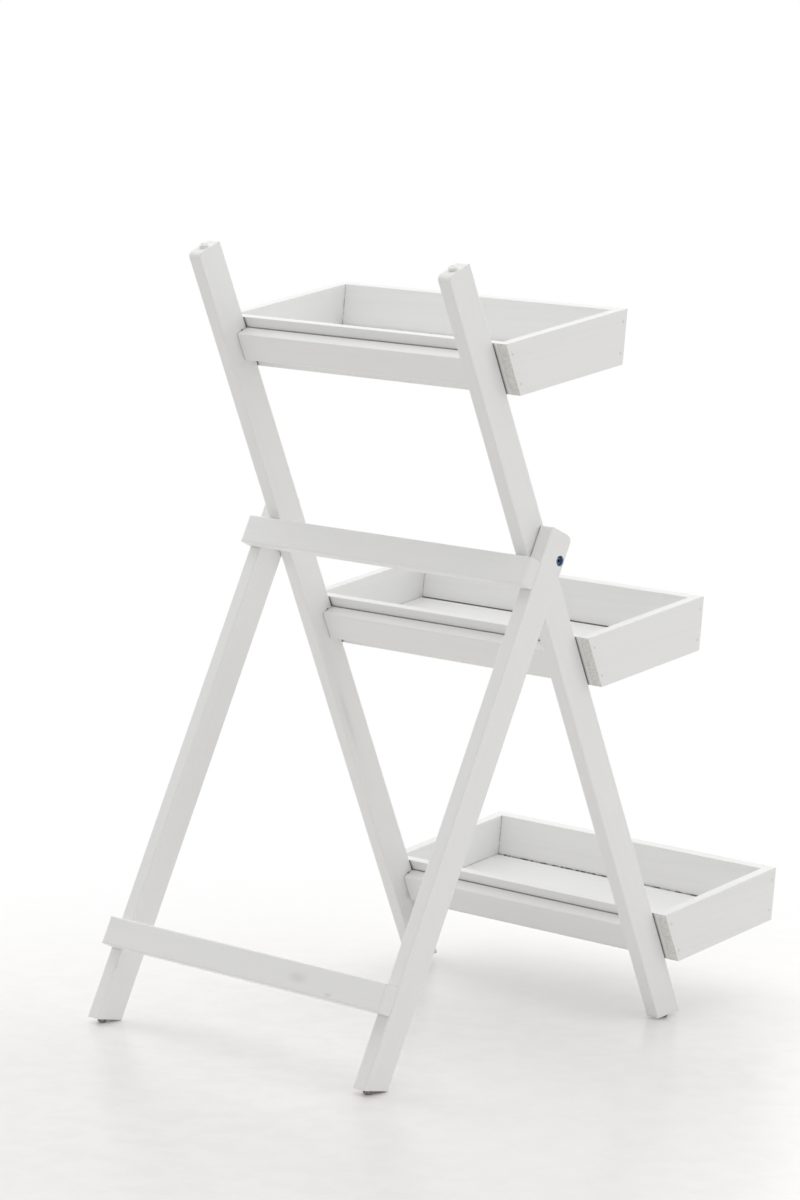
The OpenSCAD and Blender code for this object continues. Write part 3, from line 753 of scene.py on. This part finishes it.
class LADDER_OT_pivot_rings(bpy.types.Operator):
    """Turns the dark cups in the legs and the zinc washers between the legs and the stiles"""

    bl_idname = "ladder.pivot_rings"
    bl_label = "Cups and washers"

    def execute(self, context):
        sizes, fixings = context.scene.ladder_sizes, context.scene.ladder_fixings
        n = fixings.around
        base = sizes.stile_out + sizes.leg_gap + sizes.timber_width - sizes.recess_depth
        # cup section: outer wall up, round lip, inner wall down, floor in to the bolt's hole
        lip = np.radians(np.linspace(0, 180, 7))
        lip_h, lip_r = 5.1 + 0.4 * np.sin(lip), 6.1 + 0.4 * np.cos(lip)
        heights = np.concatenate([[0, 0.2, 4.6], lip_h, [4.6, 1.3, 1.0, 1.0, 0.9, 0.0]]) * MM + base
        radii = np.concatenate([[6.35, 6.5, 6.5], lip_r, [5.7, 5.7, 5.4, 3.2, 3.05, 3.05]]) * MM
        parts = pair(ring(heights, radii, n), leg_place())
        # the wall inside the lip is painted a bright blue-grey, a painted reflection, so only the lip reads
        # as a dark ring
        painted_wall_reflection = (5.78 * MM, fixings.cup_wall_reflection)
        black = metal("black_oxide_steel", fixings.cup_black, 0.34, 2 * MM, linear("#34383F"), painted_wall_reflection)
        piece("pivot_cup_pair", parts, "rear_frame", black, "pivot_cups")
        # washer section: flat with its outer corners rolled over by the stamping
        heights = np.array([0, 0, 0.12, 0.85, 1.0, 1.0]) * sizes.leg_gap + sizes.stile_out
        radii = np.array([3.05, 7.85, 8.0, 8.0, 7.8, 3.05]) * MM
        parts = pair(ring(heights, radii, n), leg_place())
        piece("pivot_washer_pair", parts, "front_ladder", zinc_plate(), "pivot_washers")
        return {"FINISHED"}


class LADDER_OT_pivot_inserts(bpy.types.Operator):
    """Cuts the two threaded inserts that take the pivot bolts in the stiles"""

    bl_idname = "ladder.pivot_inserts"
    bl_label = "Pivot inserts"

    def execute(self, context):
        sizes, fixings = context.scene.ladder_sizes, context.scene.ladder_fixings
        n = fixings.around
        low = sizes.stile_out - 13 * MM
        # outside: a deep wood thread of 2.5 mm pitch between chamfered ends; inside: the bolt's own thread
        coarse = np.linspace(0.4, 12.6, 62)
        ridge = 4.25 + 0.73 * helix(coarse, n, 2.5) ** 1.5
        ridge = np.minimum(ridge, 4.2 + np.minimum(coarse, 13 - coarse)[:, None] * 0.9)
        fine = np.linspace(12.5, 0.5, 61)
        bore = 3.25 - 0.2 * helix(fine, n, fixings.thread_pitch / MM)
        ends = all_round((3.5, 4.1, 4.1, 3.5), n)
        heights = np.concatenate([[0, 0], coarse, [13, 13], fine]) * MM + low
        radii = np.concatenate([ends[:2], ridge, ends[2:], bore]) * MM
        pivot = stile_place() @ move(0, sizes.pivot_inset - sizes.timber_depth, sizes.pivot_height)
        parts = pair(ring(heights, radii, n), pivot)
        piece("pivot_insert_pair", parts, "front_ladder", zinc_plate(), "pivot_inserts")
        return {"FINISHED"}


class LADDER_OT_tray_screws(bpy.types.Operator):
    """Cuts the countersunk tray screws, with a cross recess and a coarse wood thread"""

    bl_idname = "ladder.tray_screws"
    bl_label = "Tray screws"

    def execute(self, context):
        sizes, fixings = context.scene.ladder_sizes, context.scene.ladder_fixings
        n = 40
        turn = 2 * np.pi * np.arange(n) / n
        # head face from the middle out: the cross's arms are 1 mm wide at their floor and 1.5 mm at the face,
        # and end 2.1 to 2.5 mm out
        r = np.linspace(0.15, 3.85, 15)[:, None] * np.ones(n)
        x, y = r * np.cos(turn), r * np.sin(turn)
        arm = np.minimum(np.abs(x), np.abs(y))
        cross = np.clip((0.75 - arm) / 0.25, 0, 1) * np.clip((2.5 - r) / 0.4, 0, 1)
        face_h = cross * (2.0 - 0.4 * r)
        cone_h = np.array([0.15, 0.5, 2.0])
        cone_r = np.array([3.98, 3.5, 2.0])
        shank = np.linspace(2.2, 25.9, 96)
        thread = 1.35 + 0.63 * helix(shank, n, fixings.screw_pitch / MM)
        thread[shank < 8] = 1.95
        thread = np.minimum(thread, np.maximum((26.0 - shank) * 0.55, 0.03)[:, None])
        heights = np.concatenate([face_h, all_round(cone_h, n), all_round(shank, n)]) * MM
        radii = np.concatenate([r, all_round(cone_r, n), thread]) * MM
        points, faces = turned(heights, radii, n)
        # three to a rail, each with its head in the inner face of the 12 mm board and its tip toward +Y
        head_y = -sizes.rail_face - 12 * MM
        parts = []
        for level in range(len(LEVELS)):
            middle = sizes.first_rail + level * sizes.tray_pitch - sizes.rail_height / 2
            for x in (-150 * MM, 0, 150 * MM):
                at = stile_place() @ move(x, head_y, middle) @ turn_x(-math.pi / 2)
                parts.append((placed(points, at), faces))
        piece("tray_screw_set", parts, "front_ladder", zinc_plate(), "tray_screws")
        return {"FINISHED"}


class LADDER_OT_nails_and_dowels(bpy.types.Operator):
    """Paints the corner nails over, and gives the dowels their bare beech"""

    bl_idname = "ladder.nails_and_dowels"
    bl_label = "Nails and dowels"

    def execute(self, context):
        fixings = context.scene.ladder_fixings
        nail = painted_steel("painted_nail_steel", fixings.nail_paint)
        wear_finish("tray_nails", nail)
        beech = bare_beech("bare_beech", fixings.beech)
        wear_finish("rail_dowels", beech)
        wear_finish("bar_dowels", beech)
        return {"FINISHED"}


def glide_shape(count, pin):
    """Nail-on glide with its face at -Z: a straight skirt with rounded edges, a dome of 20 mm radius, and a
    3.8 mm well with the domed nail head in it. pin is the length of the nail in millimetres. Heights are from
    the wood's end, from which the middle of the face is 5 mm away."""
    face, well_floor = -5.0, -4.2
    dome_r = np.linspace(5.0, 2.1, 7)
    edge = np.radians(np.linspace(0, 75, 5))
    edge_r = 5.2 + 0.3 * np.cos(edge)
    head_r = np.linspace(1.5, 0.1, 5)

    def dome(radius):
        """Height of the domed face at that radius."""
        return face + 20 - np.sqrt(20**2 - np.asarray(radius) ** 2)

    skirt_h = [pin, pin - 1.2, 0.0, 0.0, -0.25, -2.0]
    skirt_r = [0.05, 1.0, 1.0, 5.25, 5.5, 5.5]
    edge_h = dome(5.2) + 0.35 * (1 - np.sin(edge)) + 0.02
    head_h = well_floor - 0.05 - 0.4 * np.sqrt(1 - (head_r / 1.6) ** 2)
    heights = np.concatenate([skirt_h, edge_h, dome(dome_r), [-4.75, well_floor, well_floor], head_h])
    radii = np.concatenate([skirt_r, edge_r, dome_r, [1.95, 1.85, 1.55], head_r])
    return turned(heights[::-1] * MM, radii[::-1] * MM, count)


class LADDER_OT_glides(bpy.types.Operator):
    """Moulds the six nail-on glides: white on the stile tops, scuffed under the feet"""

    bl_idname = "ladder.glides"
    bl_label = "Glides"

    def execute(self, context):
        sizes, fixings = context.scene.ladder_sizes, context.scene.ladder_fixings
        points, faces = glide_shape(fixings.around, 12)
        stile_x = sizes.stile_out - sizes.timber_width / 2
        leg_x = sizes.stile_out + sizes.leg_gap + sizes.timber_width / 2
        half = sizes.timber_depth / 2
        on_top = stile_place() @ move(0, -half, sizes.stile_length) @ turn_x(math.pi)
        foot_cut = sizes.stile_foot_cut
        on_foot = stile_place() @ move(0, -half, -half * math.tan(foot_cut)) @ turn_x(foot_cut)
        on_leg = leg_place() @ move(0, sizes.leg_glide, -sizes.leg_reach) @ turn_x(-sizes.leg_foot_cut)
        white = moulded_plastic("white_polythene", fixings.white_plastic, 0.2, 0.9)
        worn = moulded_plastic("scuffed_polythene", fixings.worn_plastic, 0.5, 0.35)
        for node, body, x, place, material, slot in (
            ("top_glides", "front_ladder", stile_x, on_top, white, "white_glide"),
            ("ladder_foot_glides", "front_ladder", stile_x, on_foot, worn, "foot_glide"),
            ("rear_foot_glides", "rear_frame", leg_x, on_leg, worn, "foot_glide"),
        ):
            parts = []
            for side in (-1, 1):
                at = placed(points, move(side * x, 0, 0) @ place)
                if material == worn:  # the floor has worn the face flat
                    at[:, 2] = np.maximum(at[:, 2], 0)
                parts.append((at, faces))
            piece(node + "_moulded", parts, body, material, node)
        return {"FINISHED"}


class LADDER_OT_stage(bpy.types.Operator):
    """Sets the pale floor, the lamps and the camera"""

    bl_idname = "ladder.stage"
    bl_label = "Studio"

    def execute(self, context):
        stage = context.scene.ladder_stage
        scene = context.scene
        scene.view_settings.view_transform = "Standard"

        # floor: a disc of 14 m radius, with its rings closer in the middle and 96 steps round
        radii = np.concatenate([[0.02], np.geomspace(0.1, 14, 30)])
        points, faces = turned(np.zeros(len(radii)), radii, 96)
        mesh = bpy.data.meshes.new("studio_floor")
        mesh.from_pydata(points[:-1].tolist(), [], [f for f in faces if len(points) - 1 not in f])
        mesh.update()
        floor = bpy.data.objects.new("studio_floor", mesh)
        scene.collection.objects.link(floor)
        mesh.materials.append(studio_floor(stage.floor_tone))

        world = bpy.data.worlds.new("studio_light")
        scene.world = world
        world.use_nodes = True
        tree = world.node_tree
        tree.nodes.clear()
        # an even light of ambient strength, and plain white where the camera looks past the floor
        level = add(tree, "MapRange", {0: seen_directly(tree), 3: stage.ambient, 4: 1.0}, 0)
        add(tree, "OutputWorld", {0: add(tree, "Background", {0: WHITE_LIGHT, 1: level}, 0)})
        lay_out(tree)

        # a broad lamp overhead, one low on the camera's side, one before the trays, and two on the far side,
        # whose light throws each side board's soft shadow into the tray's corner; after the name and the
        # power come the lamp's size and place
        self.lamp("overhead_lamp", stage.overhead, 4.0, (0.0, 0.1, 3.2), (0, 0, 0.4))
        self.lamp("side_lamp", stage.side, 1.6, (-2.4, -1.2, 1.3))
        self.lamp("front_lamp", stage.front, 2.0, (0.5, -2.6, 1.6))
        self.lamp("far_lamp", stage.far, 1.2, (2.4, 0.15, 2.7))
        self.lamp("right_lamp", stage.right, 1.6, (2.6, 0.0, 1.4))

        # the camera looks back at its target from its azimuth and elevation, rolled about that line
        a, e, r = stage.azimuth, stage.elevation, stage.roll
        back = Vector((math.sin(a) * math.cos(e), -math.cos(a) * math.cos(e), math.sin(e)))
        right = Vector((math.cos(a), math.sin(a), 0))
        up = back.cross(right)
        across = math.cos(r) * right + math.sin(r) * up
        upward = math.cos(r) * up - math.sin(r) * right
        data = bpy.data.cameras.new("studio_camera")
        data.sensor_fit = "VERTICAL"
        data.sensor_height = 36
        data.lens = stage.focal
        camera = bpy.data.objects.new("studio_camera", data)
        scene.collection.objects.link(camera)
        turn = Matrix((across, upward, back)).transposed().to_4x4()
        camera.matrix_world = Matrix.Translation(Vector(stage.target) + back * stage.distance) @ turn
        scene.camera = camera
        return {"FINISHED"}

    def lamp(self, name, watts, size, place, target=(0, 0, 0.5)):
        """A square soft white lamp, size metres wide, that looks at target."""
        data = bpy.data.lights.new(name, "AREA")
        data.energy, data.size = watts, size
        made = bpy.data.objects.new(name, data)
        made.location = place
        made.rotation_euler = (Vector(target) - Vector(place)).to_track_quat("-Z", "Y").to_euler()
        bpy.context.scene.collection.objects.link(made)


OPERATORS = (
    LADDER_OT_timber,
    LADDER_OT_trays,
    LADDER_OT_pivot_bolts,
    LADDER_OT_pivot_rings,
    LADDER_OT_pivot_inserts,
    LADDER_OT_tray_screws,
    LADDER_OT_nails_and_dowels,
    LADDER_OT_glides,
    LADDER_OT_stage,
)
GROUPS = {
    "ladder_sizes": LadderSizes,
    "ladder_paint": LadderPaint,
    "ladder_fixings": LadderFixings,
    "ladder_stage": LadderStage,
}


class LADDER_PT_panel(bpy.types.Panel):
    """Lists the ladder's pieces and their sizes and colours"""

    bl_idname = "LADDER_PT_panel"
    bl_label = "Plant ladder"
    bl_space_type = "VIEW_3D"
    bl_region_type = "UI"
    bl_category = "Plant ladder"

    def draw(self, context):
        for group in GROUPS:
            box = self.layout.box()
            box.label(text=group.replace("_", " ").capitalize())
            for name in GROUPS[group].__annotations__:
                box.prop(getattr(context.scene, group), name)
        for operator in OPERATORS:
            self.layout.operator(operator.bl_idname)


def register():
    """Registers the classes and puts the property groups on the scene."""
    for made in (*GROUPS.values(), *OPERATORS, LADDER_PT_panel):
        bpy.utils.register_class(made)
    for name, group in GROUPS.items():
        setattr(bpy.types.Scene, name, PointerProperty(type=group))


def unregister():
    """Takes the property groups and the classes away again."""
    for name in GROUPS:
        delattr(bpy.types.Scene, name)
    for made in reversed((*GROUPS.values(), *OPERATORS, LADDER_PT_panel)):
        bpy.utils.unregister_class(made)


def main():
    register()
    for operator in OPERATORS:
        group, name = operator.bl_idname.split(".")
        getattr(getattr(bpy.ops, group), name)()
    bpy.context.view_layer.update()


if __name__ == "__main__":
    main()
